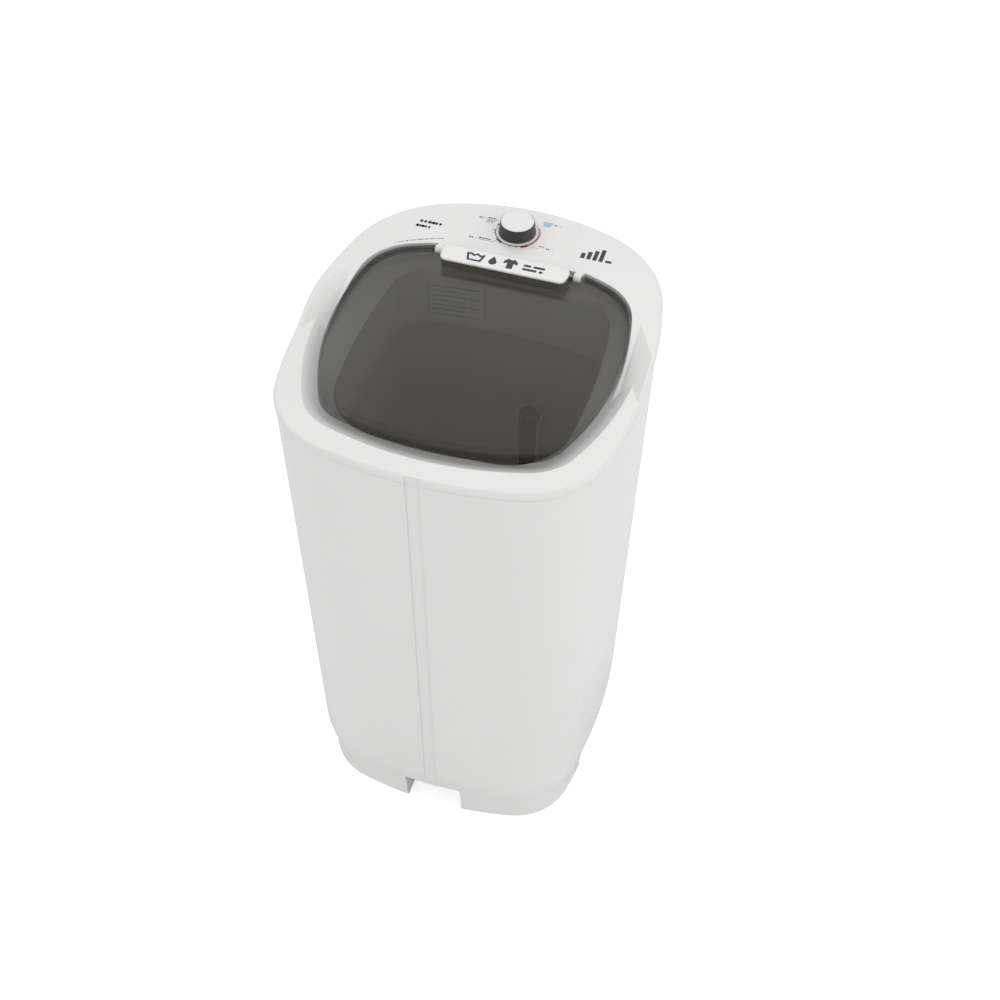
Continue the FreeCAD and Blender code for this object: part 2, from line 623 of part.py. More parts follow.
def pulsator_screw():
    seat, tip = HUB_Z + HUB_H, SHAFT_HIGH - 12
    return cyl(SPIN_X, SPIN_Y, seat, 6, 4).fuse(cyl(SPIN_X, SPIN_Y, tip, HUB_SCREW_R, seat - tip))


# ------------------------------------------------------------------ belt drive


def grooved_wheel(x, y, pitch_r, bore):
    """Flat-belt wheel: the belt runs between two flanges, clear of them by the play."""
    seat = pitch_r - BELT_T / 2 - BELT_PLAY
    half = BELT_H / 2 + BELT_PLAY
    body = cyl(x, y, BELT_Z - half, seat, 2 * half)
    for z in (BELT_Z - half - WHEEL_RIM_T, BELT_Z + half):
        body = body.fuse(cyl(x, y, z, pitch_r + BELT_T / 2 + 1, WHEEL_RIM_T))
    return body.cut(cyl(x, y, 0, bore, 300))


def large_pulley():
    body = grooved_wheel(SPIN_X, SPIN_Y, BIG_PITCH_R, SHAFT_R)
    half = BELT_H / 2 + BELT_PLAY + WHEEL_RIM_T
    pocket = tube(SPIN_X, SPIN_Y, BELT_Z - half - 1, BIG_PITCH_R - 12, 18, 2 * half + 2)
    web = tube(SPIN_X, SPIN_Y, BELT_Z - 2, BIG_PITCH_R - 11, 17, 4)
    windows = []
    for k in range(6):
        w = cyl(BIG_PITCH_R * 0.55, 0, BELT_Z - 10, 12, 20)
        w.rotate(Vector(0, 0, 0), Vector(0, 0, 1), 60 * k)
        w.translate(Vector(SPIN_X, SPIN_Y, 0))
        windows.append(w)
    body = body.cut(pocket).fuse(fuse_cut(web, windows))
    hub = tube(SPIN_X, SPIN_Y, BELT_Z - half, 18, SHAFT_R, HOUSING_LOW - 2 - BELT_Z + half)
    return body.fuse(hub)


def pulley_nut():
    hexagon = [(SPIN_X + 10 * math.cos(math.radians(60 * k)), SPIN_Y + 10 * math.sin(math.radians(60 * k)))
               for k in range(6)]
    z = BELT_Z - BELT_H / 2 - BELT_PLAY - WHEEL_RIM_T
    return prism(hexagon, z - NUT_H, z).cut(cyl(SPIN_X, SPIN_Y, 0, SHAFT_R, 300))


def motor_pulley():
    return grooved_wheel(MOTOR_X, MOTOR_Y, SMALL_PITCH_R, MOTOR_SHAFT_R)


def belt_loop(grow):
    """Open-belt outline: two wraps joined by the outer tangents, as a face."""
    big, small = BIG_PITCH_R + grow, SMALL_PITCH_R + grow
    run = SPIN_X - MOTOR_X
    tilt = math.acos((BIG_PITCH_R - SMALL_PITCH_R) / run)
    up, down = math.pi - tilt, math.pi + tilt
    spot = lambda x, r, a: Vector(x + r * math.cos(a), SPIN_Y + r * math.sin(a), BELT_Z - BELT_H / 2)
    b1, b2, bm = spot(SPIN_X, big, up), spot(SPIN_X, big, down), spot(SPIN_X, big, 0)
    s1, s2, sm = spot(MOTOR_X, small, up), spot(MOTOR_X, small, down), spot(MOTOR_X, small, math.pi)
    wire = Part.Wire([Part.Arc(b1, bm, b2).toShape(), Part.makeLine(b2, s2),
                      Part.Arc(s2, sm, s1).toShape(), Part.makeLine(s1, b1)])
    return Part.Face(wire).extrude(Vector(0, 0, BELT_H))


def drive_belt():
    return belt_loop(BELT_T / 2).cut(belt_loop(-BELT_T / 2))


# ------------------------------------------------------------------ motor
def motor_shaft():
    """Rotor shaft with the rotor stack on it, inside the housing."""
    body = cyl(MOTOR_X, MOTOR_Y, SHAFT_LOW + 8, MOTOR_SHAFT_R, MOTOR_HIGH - 6 - SHAFT_LOW - 8)
    return body.fuse(cyl(MOTOR_X, MOTOR_Y, MOTOR_LOW + 26, ROTOR_R, MOTOR_HIGH - MOTOR_LOW - 52))


def motor_stator():
    z0, z1 = MOTOR_LOW + CAP_H, MOTOR_HIGH - CAP_H
    body = tube(MOTOR_X, MOTOR_Y, z0, MOTOR_R, STATOR_BORE, z1 - z0)
    for k in range(12):
        slot = box(MOTOR_R - 3, -3, z0 - 1, MOTOR_R + 1, 3, z1 + 1)
        slot.rotate(Vector(0, 0, 0), Vector(0, 0, 1), 30 * k)
        slot.translate(Vector(MOTOR_X, MOTOR_Y, 0))
        body = body.cut(slot)
    return body


def motor_cap(top):
    """End cap with a bearing boss; the lower one has three ears for the mounts."""
    z0 = MOTOR_HIGH - CAP_H if top else MOTOR_LOW
    body = cyl(MOTOR_X, MOTOR_Y, z0, MOTOR_R, CAP_H)
    inside = z0 if top else z0 + 4
    body = body.cut(cyl(MOTOR_X, MOTOR_Y, inside - (1 if top else 0), MOTOR_R - 4, CAP_H - 3))
    bore = cyl(MOTOR_X, MOTOR_Y, z0 - 5, MOTOR_SHAFT_R + BUSH_PLAY, CAP_H + 1)
    if top:
        body = body.fuse(cyl(MOTOR_X, MOTOR_Y, z0 + 4, BEARING_R, CAP_H - 5))
        return body.cut(bore)
    body = body.fuse(cyl(MOTOR_X, MOTOR_Y, z0 + 1, BEARING_R, CAP_H - 5))
    for x, y in motor_ear_spots():
        body = body.fuse(cyl(x, y, z0, 12, EAR_T)).cut(cyl(x, y, z0 + EAR_T, 8, CAP_H))
        body = body.cut(cyl(x, y, z0 - 1, EAR_HOLE, 8))
    return body.cut(cyl(MOTOR_X, MOTOR_Y, z0 - 5, MOTOR_SHAFT_R + BUSH_PLAY, 40))


def motor_ear_spots():
    return [(MOTOR_X + EAR_R * math.cos(a), MOTOR_Y + EAR_R * math.sin(a))
            for a in [math.radians(120 * k) for k in range(3)]]


def motor_mounts():
    """Rubber grommets between the motor's ears and its tray."""
    rings = []
    for x, y in motor_ear_spots():
        g = tube(x, y, MOTOR_LOW - MOUNT_T, 11, BOLT_R, MOUNT_T)
        rings.append(g.fuse(tube(x, y, MOTOR_LOW - 1, EAR_HOLE, BOLT_R, 7)))
    return Part.makeCompound(rings)


def motor_bolts():
    bolts = []
    for x, y in motor_ear_spots():
        b = cyl(x, y, MOTOR_LOW - MOUNT_T - TRAY_T, BOLT_R, MOUNT_T + TRAY_T + EAR_T)
        bolts.append(b.fuse(cyl(x, y, MOTOR_LOW + EAR_T, 6.5, 4)))
    return Part.makeCompound(bolts)


def motor_tray():
    """Pressed steel tray under the motor, hung from the tub floor by two straps."""
    plate = round_box(MOTOR_X - 50, MOTOR_Y - TRAY_HALF, TRAY_Z,
                      MOTOR_X + 80, MOTOR_Y + TRAY_HALF, TRAY_Z + TRAY_T, 12)
    plate = plate.cut(cyl(MOTOR_X, MOTOR_Y, TRAY_Z - 1, SMALL_PITCH_R + 12, TRAY_T + 2))
    for x, y in motor_ear_spots():
        plate = plate.cut(cyl(x, y, TRAY_Z - 1, BOLT_R, TRAY_T + 2))
    top = TUB_FLOOR - TUB_T
    for side in (-1, 1):
        y0 = MOTOR_Y + side * TRAY_HALF - (TRAY_T if side > 0 else 0)
        strap = box(MOTOR_X + 10, y0, TRAY_Z, MOTOR_X + 46, y0 + TRAY_T, top)
        tab_y = y0 if side > 0 else y0 - 15
        tab = box(MOTOR_X + 10, tab_y, top - TRAY_T, MOTOR_X + 46, tab_y + 18, top)
        plate = plate.fuse(strap).fuse(tab)
    return plate


def capacitor():
    can = cyl(CAN_X, CAN_Y, CAN_Z, CAN_R, CAN_H)
    rim = [e for e in can.Edges if e.Curve.TypeId == "Part::GeomCircle"]
    can = can.makeFillet(2, rim)
    for s in (-6, 6):
        can = can.fuse(box(CAN_X + s - 3, CAN_Y - 0.5, CAN_Z - 9, CAN_X + s + 3, CAN_Y + 0.5, CAN_Z + 1))
    return can


def capacitor_clamp():
    z = TUB_FLOOR - TUB_T
    band = tube(CAN_X, CAN_Y, CAN_Z + 30, CAN_R + 1.5, CAN_R, 16)
    arm = box(CAN_X - 8, CAN_Y + CAN_R, CAN_Z + 30, CAN_X + 8, CAN_Y + CAN_R + 3, z)
    foot = box(CAN_X - 8, CAN_Y + CAN_R, z - 3, CAN_X + 8, CAN_Y + CAN_R + 22, z)
    return band.fuse(arm).fuse(foot).cut(cyl(CAN_X, CAN_Y, CAN_Z - 1, CAN_R, CAN_H + 2))


# ------------------------------------------------------------------ lint filter
def filter_holder():
    """Channel on the tub's back wall that the filter slides into from above."""
    half = FILTER_W / 2 + GUIDE_PLAY
    x0, x1 = FILTER_X - half - GUIDE_T, FILTER_X + half + GUIDE_T
    y1 = FILTER_BACK + GUIDE_PLAY
    y0 = y1 - FILTER_DEEP - 2 * GUIDE_PLAY
    z0, z1 = FILTER_LOW - GUIDE_PLAY - GUIDE_T, FILTER_TOP - 26
    block = box(x0, y0 - GUIDE_T, z0, x1, 175, z1)
    wall = loft((MOUTH, tub_inset(z0 - 10), z0 - 10), (MOUTH, tub_inset(z1 + 10), z1 + 10))
    block = block.common(wall)
    block = block.cut(box(x0 + GUIDE_T, y0, z0 + GUIDE_T, x1 - GUIDE_T, y1, z1 + 1))
    block = block.cut(box(x0 + 2 * GUIDE_T, y0 - 20, z0 + 3 * GUIDE_T, x1 - 2 * GUIDE_T, y0 + 1, z1 + 1))
    return block.cut(box(x0 + GUIDE_T, y1 + GUIDE_T, z0 - 1, x1 - GUIDE_T, 170, z1 - 6))


def filter_frame():
    x0, x1 = FILTER_X - FILTER_W / 2, FILTER_X + FILTER_W / 2
    y1, y0 = FILTER_BACK, FILTER_BACK - FILTER_DEEP
    low, top = FILTER_LOW, FILTER_TOP - 14
    body = box(x0, y0, low, x1, y1, top)
    body = body.cut(box(x0 + FRAME_W, y0 - 1, low + 6, x1 - FRAME_W, y1 - 2, top - 8))
    body = body.cut(box(x0 + FRAME_W, y1 - 3, low + 6, x1 - FRAME_W, y1 + 1, top - 40))
    for k in range(1, 4):
        z = low + 6 + k * (top - 48 - low) / 4
        body = body.fuse(box(x0 + 4, y1 - 5, z - 1.5, x1 - 4, y1, z + 1.5))
    tab = prism_xz([(x0, top), (x1, top), (x1 - 4, top + 8), (FILTER_X + 4, FILTER_TOP),
                    (FILTER_X - 4, FILTER_TOP), (x0 + 4, top + 8)], y0 + 3, y1 - 3)
    return body.fuse(tab)


def prism_xz(points, y0, y1):
    wire = Part.makePolygon([Vector(x, y0, z) for x, z in points + points[:1]])
    return Part.Face(wire).extrude(Vector(0, y1 - y0, 0))


def filter_mesh():
    """Fine mesh screen clipped into the front of the frame."""
    x0, x1 = FILTER_X - FILTER_W / 2 + FRAME_W, FILTER_X + FILTER_W / 2 - FRAME_W
    return box(x0, FILTER_BACK - FILTER_DEEP + 1, FILTER_LOW + 6, x1, FILTER_BACK - FILTER_DEEP + 2,
               FILTER_TOP - 22)


# ------------------------------------------------------------------ lid
def lid_form(d):
    """Lid form with a turned-down rim; d > 0 gives its hollow."""
    return loft((LID, d - 1.0, LID_LOW - d), (LID, d, LID_RIM - 2 - d * 0.5),
                (LID, d + 1.6, LID_RIM - d * 0.8), (LID, d + 12, LID_TOP - d))


def lid_panel():
    body = lid_form(0).cut(lid_form(LID_WALL))
    bead = loft((LID, 7, LID_RIM), (LID, 7, LID_RIM + 1.6)).cut(
        loft((LID, 9.5, LID_RIM - 1), (LID, 9.5, LID_RIM + 3)))
    body = body.fuse(bead)
    notch = box(-HINGE_BAY - 1.5, 135, LID_LOW - 10, HINGE_BAY + 1.5, 300, LID_TOP + 10)
    body = body.cut(notch)
    for x, y in block_screw_spots():
        body = body.cut(cyl(x, y, LID_LOW, SCREW_R, 30))
    return body


def block_screw_spots():
    return [(x, BLOCK_SCREW_Y) for x in (-BLOCK_SCREW_X, 0.0, BLOCK_SCREW_X)]


def block_plan(inset):
    f, r, a, b = BLOCK_FRONT + inset, BLOCK_REAR - inset, BLOCK_HALF_FRONT - inset, BLOCK_HALF_REAR - inset
    return [(-a, f), (a, f), (b, r), (-b, r)]


def rounded_prism(points, z0, z1, r):
    body = prism(points, z0, z1)
    upright = [e for e in body.Edges if abs(e.Vertexes[0].Z - e.Vertexes[1].Z) > (z1 - z0) / 2]
    return body.makeFillet(r, upright)


def hinge_block():
    """Hollow block across the rear of the lid, carrying the hinge barrel."""
    top = PLATE_TOP - PLATE_T
    body = rounded_prism(block_plan(0), LID_TOP, top, 9)
    body = body.cut(rounded_prism(block_plan(3), LID_TOP + 3, top + 1, 6))
    for x, y in block_screw_spots():
        body = body.fuse(cyl(x, y, LID_TOP, 5, BLOCK_BOSS_H)).cut(cyl(x, y, LID_TOP - 1, SCREW_R, 12))
    web = box(-LUG_IN + 1, BLOCK_REAR - 3, LID_TOP, LUG_IN - 1, PIVOT_Y, PIVOT_Z + BARREL_R)
    barrel = cyl(1 - LUG_IN, PIVOT_Y, PIVOT_Z, BARREL_R, 2 * LUG_IN - 2, (1, 0, 0))
    gap = box(-60, BLOCK_REAR, TUB_RIM, 60, PIVOT_Y + 20, PLATE_TOP)
    body = body.fuse(web.cut(gap)).fuse(barrel.cut(gap))
    for side in (-1, 1):
        body = body.cut(pin(side))
    return body


def pin(side):
    x0 = LUG_OUT - PIN_LEN if side > 0 else -LUG_OUT
    return cyl(x0, PIVOT_Y, PIVOT_Z, PIN_R, PIN_LEN, (1, 0, 0))


def hinge_pins():
    return Part.makeCompound([pin(-1), pin(1)])


def block_screws():
    """Screws driven up through the lid into the block."""
    screws = []
    for x, y in block_screw_spots():
        s = cyl(x, y, LID_TOP - LID_WALL - 0.4, SCREW_R, BLOCK_BOSS_H)
        screws.append(s.fuse(cyl(x, y, LID_TOP - LID_WALL - 2.6, 3.6, 2.2)))
    return Part.makeCompound(screws)


def nameplate():
    """White plate that closes the block from above."""
    plate = rounded_prism(block_plan(-0.6), PLATE_TOP - PLATE_T, PLATE_TOP, 10)
    rim = [e for e in plate.Edges if e.BoundBox.ZMin > PLATE_TOP - 0.01]
    plate = plate.makeFillet(1.5, rim)
    return plate.fuse(rounded_prism(block_plan(3.3), PLATE_TOP - PLATE_T - 2, PLATE_TOP - PLATE_T, 6))


# ------------------------------------------------------------------ timer dial
def timer_screw_spots():
    return [(KNOB_X - TIMER_SCREW_X, KNOB_Y), (KNOB_X + TIMER_SCREW_X, KNOB_Y)]


def dial_ring():
    """Printed ring round the knob; it hides the timer's screws."""
    return tube(KNOB_X, KNOB_Y, CONSOLE_Z, DIAL_R, SHAFT_HOLE, DIAL_T)


def timer_screws():
    screws = []
    for x, y in timer_screw_spots():
        screws.append(cyl(x, y, TIMER_TOP - 8, SCREW_R, 8 + WALL))
    return Part.makeCompound(screws)


def timer_body():
    body = round_box(KNOB_X - 28, KNOB_Y - 24, TIMER_TOP - 44, KNOB_X + 28, KNOB_Y + 24, TIMER_TOP, 6)
    body = body.cut(cyl(KNOB_X, KNOB_Y, TIMER_TOP - TIMER_SHAFT_DEEP - 1, TIMER_SHAFT_R + BUSH_PLAY, 40))
    for x, y in timer_screw_spots():
        body = body.cut(cyl(x, y, TIMER_TOP - 12, SCREW_R, 14))
    for k in range(4):
        x = KNOB_X - 15 + 10 * k
        body = body.fuse(box(x - 3, KNOB_Y - 4, TIMER_TOP - 53, x + 3, KNOB_Y - 3, TIMER_TOP - 43))
    return body


def timer_shaft():
    foot = TIMER_TOP - TIMER_SHAFT_DEEP
    return cyl(KNOB_X, KNOB_Y, foot, TIMER_SHAFT_R, SHAFT_END - foot)


def knob_skirt():
    z0, z1 = CONSOLE_Z + DIAL_T + KNOB_GAP, KNOB_TOP - KNOB_STEP
    body = cone(KNOB_X, KNOB_Y, z0, KNOB_R, KNOB_R - KNOB_SLOPE, z1 - z0)
    body = body.cut(cone(KNOB_X, KNOB_Y, z0 - 0.01, KNOB_R - 2.2, KNOB_R - 4.6, z1 - z0 - 5))
    body = body.fuse(cyl(KNOB_X, KNOB_Y, z0, 6.5, z1 - z0 - 4))
    body = body.cut(cyl(KNOB_X, KNOB_Y, z1 - KNOB_CAP_T, KNOB_CAP_R, 5))
    return body.cut(cyl(KNOB_X, KNOB_Y, z0 - 1, TIMER_SHAFT_R, SHAFT_END - z0 + 1))


def knob_cap():
    z0 = KNOB_TOP - KNOB_STEP - KNOB_CAP_T
    cap = cyl(KNOB_X, KNOB_Y, z0, KNOB_CAP_R, KNOB_TOP - z0)
    rim = [e for e in cap.Edges if e.BoundBox.ZMin > KNOB_TOP - 0.01]
    return cap.makeFillet(1.2, rim)


# ------------------------------------------------------------------ drain and wiring
def drain_outlet():
    """Flanged elbow stub under the tub's drain hole."""
    z = TUB_FLOOR - TUB_T
    body = cyl(DRAIN_X, DRAIN_Y, z - 4, 26, 4).fuse(cyl(DRAIN_X, DRAIN_Y, z, DRAIN_R, TUB_T))
    body = body.fuse(cyl(DRAIN_X, DRAIN_Y, z - 36, DRAIN_STUB, 34))
    return body.cut(cyl(DRAIN_X, DRAIN_Y, z - 40, DRAIN_STUB - STUB_WALL, 60))


def drain_grate():
    z = TUB_FLOOR
    body = cyl(DRAIN_X, DRAIN_Y, z, 24, 3)
    for k in range(8):
        hole = cyl(6.2, 0, z - 1, 1.9, 5)
        hole.rotate(Vector(0, 0, 0), Vector(0, 0, 1), 45 * k)
        hole.translate(Vector(DRAIN_X, DRAIN_Y, 0))
        body = body.cut(hole)
    return body


def hose_route():
    """Centre line of the hose, from the tub's stub down and back to the spigot."""
    top = TUB_FLOOR - TUB_T - 8
    end = wall_y(SPIGOT_Z, True) - HOSE_END
    return [(DRAIN_X, DRAIN_Y, top), (DRAIN_X, DRAIN_Y, SPIGOT_Z), (SPIGOT_X, end, SPIGOT_Z)]


def drain_hose():
    route = hose_route()
    outer = pipe(route, DRAIN_STUB + HOSE_T, HOSE_BEND)
    return outer.cut(pipe(route, DRAIN_STUB, HOSE_BEND))


def spigot():
    """Drain connection through the back wall, with a locking flange and a hose barb."""
    y1 = wall_y(SPIGOT_Z, True)
    inner_end = y1 - HOSE_END
    body = cyl(SPIGOT_X, inner_end - 18, SPIGOT_Z, DRAIN_STUB, y1 + 17 - inner_end + 18, (0, 1, 0))
    flange = cyl(SPIGOT_X, y1 - WALL - 4.4, SPIGOT_Z, 20, 4, (0, 1, 0))
    body = body.fuse(flange)
    barb = cone(SPIGOT_X, y1 + 1, SPIGOT_Z, DRAIN_STUB + 1.4, DRAIN_STUB, 4, (0, 1, 0))
    body = body.fuse(barb)
    return body.cut(cyl(SPIGOT_X, inner_end - 20, SPIGOT_Z, DRAIN_STUB - STUB_WALL, 120, (0, 1, 0)))


def hose_clips():
    top = TUB_FLOOR - TUB_T - 22
    end = wall_y(SPIGOT_Z, True) - HOSE_END
    ring = lambda at, axis: tube(*at, CLIP_BORE + CLIP_T, CLIP_BORE, CLIP_W, axis)
    tab = CLIP_BORE + CLIP_T / 2 - 0.1
    first = ring((DRAIN_X, DRAIN_Y, top), (0, 0, 1))
    first = first.fuse(box(DRAIN_X + tab, DRAIN_Y - 3, top, DRAIN_X + 22, DRAIN_Y + 3, top + CLIP_W))
    second = ring((SPIGOT_X, end - 12, SPIGOT_Z), (0, 1, 0))
    second = second.fuse(
        box(SPIGOT_X - 3, end - 12, SPIGOT_Z + tab, SPIGOT_X + 3, end - 12 + CLIP_W, SPIGOT_Z + 22))
    return Part.makeCompound([first, second])


def cable_gland():
    """Bushing for the mains lead, pushed into the back wall."""
    y1 = wall_y(GLAND_Z, True)
    body = cyl(GLAND_X, y1 - 16, GLAND_Z, GLAND_HOLE, 24, (0, 1, 0))
    body = body.fuse(cyl(GLAND_X, y1 + 0.6, GLAND_Z, GLAND_HOLE + 4, 5, (0, 1, 0)))
    return body.cut(cyl(GLAND_X, y1 - 20, GLAND_Z, GLAND_BORE, 60, (0, 1, 0)))


def harness_route():
    """From the timer's terminals down behind the tub and forward to the motor."""
    x, y = KNOB_X - 10, KNOB_Y - 3.5
    return [(x, y, TIMER_TOP - 54), (x, y, 700), (x - 40, y + 6, 660), (x - 40, y + 6, 250),
            (MOTOR_X, 120, 200), (MOTOR_X, MOTOR_Y + MOTOR_R + 0.5, 176)]


def wiring_harness():
    return pipe(harness_route(), HARNESS_R, HARNESS_BEND)


def harness_clips():
    """Clips that hold the harness on the back wall."""
    x, y = KNOB_X - 50, KNOB_Y + 2.5
    clips = []
    for z in CLIP_HEIGHTS:
        c = tube(x, y, z, HARNESS_R + 2, HARNESS_R, 10)
        back = wall_y(z, True) - WALL - (abs(x) + 3) ** 2 / (2 * SHELL.r_rear) - 0.3
        c = c.fuse(box(x - 3, y + HARNESS_R + 0.5, z, x + 3, back, z + 10))
        clips.append(c.cut(cyl(x, y, z - 1, HARNESS_R, 12)))
    return Part.makeCompound(clips)


# ------------------------------------------------------------------ labels and screws
def instruction_label():
    """Sheet on the collar's back wall, left of the middle."""
    low, top = COLLAR_LOW + 6, LEDGE_Z - WALL - 6
    lean = COLLAR_DRAFT * (LEDGE_Z - WALL - low)
    upper = lean - COLLAR_DRAFT * (top - low)
    body = loft((MOUTH, lean, low), (MOUTH, upper, top)).cut(
        loft((MOUTH, lean + LABEL_T, low - 0.01), (MOUTH, upper + LABEL_T, top + 0.01)))
    return body.common(box(LABEL_LEFT, 100, low - 1, LABEL_RIGHT, 200, top + 1))


def screw(x, y, z, length, head_r=3.8):
    """Screw from z upwards, its head below z."""
    return cyl(x, y, z, SCREW_R, length).fuse(cyl(x, y, z - 2.4, head_r, 2.4))


def tub_screws():
    z = TUB_RIM - TUB_T
    return Part.makeCompound([screw(x, y, z, TUB_T + GASKET_T + COLLAR_T + 7)
                              for x, y, _ in rim_spots(MOUTH, -SCREW_LINE, z)])


def housing_screws():
    z = HOUSING_TOP - HOUSING_FLANGE_T
    return Part.makeCompound([screw(x, y, z, HOUSING_FLANGE_T + TUB_T) for x, y in housing_screw_spots()])


NODES = {
    "cabinet_shell": cabinet_shell, "foot_pads": foot_pads, "bottom_cover": bottom_cover,
    "top_ring": top_ring, "tub_collar": tub_collar, "tub_gasket": tub_gasket, "wash_tub": wash_tub,
    "instruction_label": instruction_label, "tub_screws": tub_screws,
    "filter_holder": filter_holder, "filter_frame": filter_frame, "filter_mesh": filter_mesh,
    "lid_panel": lid_panel, "hinge_block": hinge_block, "block_screws": block_screws,
    "nameplate": nameplate, "hinge_pins": hinge_pins,
    "dial_ring": dial_ring, "timer_screws": timer_screws, "timer_body": timer_body,
    "timer_shaft": timer_shaft, "knob_skirt": knob_skirt, "knob_cap": knob_cap,
    "shaft_housing": shaft_housing, "housing_screws": housing_screws,
    "upper_bush": lambda: bush(HOUSING_TOP - 30), "lower_bush": lambda: bush(HOUSING_LOW),
    "shaft_seal": shaft_seal, "pulsator_shaft": pulsator_shaft, "pulsator": pulsator,
    "pulsator_screw": pulsator_screw, "large_pulley": large_pulley, "pulley_nut": pulley_nut,
    "drive_belt": drive_belt, "motor_pulley": motor_pulley, "motor_shaft": motor_shaft,
    "motor_stator": motor_stator, "motor_lower_cap": lambda: motor_cap(False),
    "motor_upper_cap": lambda: motor_cap(True), "motor_mounts": motor_mounts,
    "motor_bolts": motor_bolts, "motor_tray": motor_tray,
    "capacitor": capacitor, "capacitor_clamp": capacitor_clamp,
    "drain_outlet": drain_outlet, "drain_grate": drain_grate, "drain_hose": drain_hose,
    "drain_spigot": spigot, "hose_clips": hose_clips, "cable_gland": cable_gland,
    "wiring_harness": wiring_harness, "harness_clips": harness_clips,
}

LID_NODES = ("lid_panel", "hinge_block", "block_screws", "nameplate", "hinge_pins")

for name, make in NODES.items():
    write(name, tilted(make()) if name in LID_NODES else make())
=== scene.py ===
import bpy
import json
import math
from mathutils import Matrix, Vector
from mathutils.bvhtree import BVHTree


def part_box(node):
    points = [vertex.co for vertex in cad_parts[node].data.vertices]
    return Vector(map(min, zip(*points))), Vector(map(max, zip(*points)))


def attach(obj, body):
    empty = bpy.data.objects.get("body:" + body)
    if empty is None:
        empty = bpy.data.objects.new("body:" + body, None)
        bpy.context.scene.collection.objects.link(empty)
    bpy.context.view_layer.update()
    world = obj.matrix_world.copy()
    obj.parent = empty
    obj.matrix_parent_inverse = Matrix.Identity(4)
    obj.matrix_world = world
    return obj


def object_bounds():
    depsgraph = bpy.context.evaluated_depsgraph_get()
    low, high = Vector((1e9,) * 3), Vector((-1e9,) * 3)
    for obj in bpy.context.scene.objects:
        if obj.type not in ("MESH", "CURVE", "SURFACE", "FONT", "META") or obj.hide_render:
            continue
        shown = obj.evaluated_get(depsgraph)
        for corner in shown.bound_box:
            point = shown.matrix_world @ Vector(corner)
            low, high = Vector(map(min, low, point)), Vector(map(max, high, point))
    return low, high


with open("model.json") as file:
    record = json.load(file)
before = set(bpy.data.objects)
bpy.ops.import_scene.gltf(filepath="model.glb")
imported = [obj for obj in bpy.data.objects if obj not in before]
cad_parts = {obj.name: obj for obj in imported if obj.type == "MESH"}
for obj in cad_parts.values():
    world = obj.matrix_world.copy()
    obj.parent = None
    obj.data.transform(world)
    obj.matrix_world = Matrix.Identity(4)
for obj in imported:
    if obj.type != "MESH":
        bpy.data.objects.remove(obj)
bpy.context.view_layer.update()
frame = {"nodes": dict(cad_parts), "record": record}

MM = 0.001
NODES = frame["nodes"]

LID_ALPHA = 0.41          # share of the light that each face of the lid stops, seen square on
LID_LOW_ALPHA = 0.9       # the same at a grazing angle
PRINT_LIFT = 0.12         # thickness of the printed marks, mm
PROBE_HEIGHT = 0.02       # a mark is projected onto its face from this far above, m
MITRE_LIMIT = 0.35        # a stroke's corner reaches out to no more than its half-width over this

WORLD_LIGHT, WORLD_SEEN = 0.80, 1.0        # background strength as a light, and as seen
FLOOR_GLOW, FLOOR_BOUNCE = 0.56, 0.87      # floor's own light as seen, and its bounce colour
FLOOR_HALF = 8.0
SOFTBOXES = (             # name, place, disc size in metres, watts
    ("key_right", (3.2, -0.6, 2.0), 2.4, 16),
    ("top_back", (-0.4, 1.6, 3.4), 2.2, 12),
    ("front_fill", (-1.2, -3.4, 1.6), 2.4, 6))
LIGHT_AIM = (0, 0, 0.5)

SENSOR_MM, LENS_MM = 36.0, 56.7648
YAW, PITCH, ROLL = math.radians(16.81), math.radians(48.51), math.radians(0.65)
EYE = (0.5056, -1.5551, 2.3682)
NEAR, FAR = 0.05, 60.0


# ------------------------------------------------------------------ materials
def linear(r, g, b):
    """Linear colour from display values 0 to 255."""
    def one(v):
        v /= 255
        return v / 12.92 if v <= 0.04045 else ((v + 0.055) / 1.055) ** 2.4
    return (one(r), one(g), one(b), 1.0)


class Graph:
    """A material's node tree with short helpers."""

    def __init__(self, name):
        self.mat = bpy.data.materials.new(name)
        self.mat.use_nodes = True
        self.tree = self.mat.node_tree
        self.shader = self.tree.nodes["Principled BSDF"]

    def add(self, kind, **values):
        node = self.tree.nodes.new(kind)
        for key, value in values.items():
            if key in node.inputs:
                node.inputs[key].default_value = value
            else:
                setattr(node, key, value)
        return node

    def link(self, out, into):
        self.tree.links.new(out, into)

    def position(self):
        return self.add("ShaderNodeTexCoord").outputs["Object"]

    def noise(self, scale, detail=3.0, rough=0.5):
        node = self.add("ShaderNodeTexNoise", Scale=scale, Detail=detail, Roughness=rough)
        self.link(self.position(), node.inputs["Vector"])
        return node.outputs["Fac"]

    def spread(self, fac, low, high):
        node = self.add("ShaderNodeMapRange")
        node.inputs["To Min"].default_value = low
        node.inputs["To Max"].default_value = high
        self.link(fac, node.inputs["Value"])
        return node.outputs["Result"]

    def tint(self, fac, first, second):
        node = self.add("ShaderNodeMix", data_type="RGBA")
        node.inputs[6].default_value = first
        node.inputs[7].default_value = second
        self.link(fac, node.inputs["Factor"])
        return node.outputs[2]

    def bump(self, height, strength, distance, edge=0.0):
        node = self.add("ShaderNodeBump", Strength=strength, Distance=distance)
        self.link(height, node.inputs["Height"])
        if edge:
            soft = self.add("ShaderNodeBevel", samples=4)
            soft.inputs["Radius"].default_value = edge
            self.link(soft.outputs["Normal"], node.inputs["Normal"])
        self.link(node.outputs["Normal"], self.shader.inputs["Normal"])

    def scalar(self, **values):
        for key, value in values.items():
            self.shader.inputs[key.replace("_", " ")].default_value = value


def shade(color, k):
    return (color[0] * k, color[1] * k, color[2] * k, 1.0)


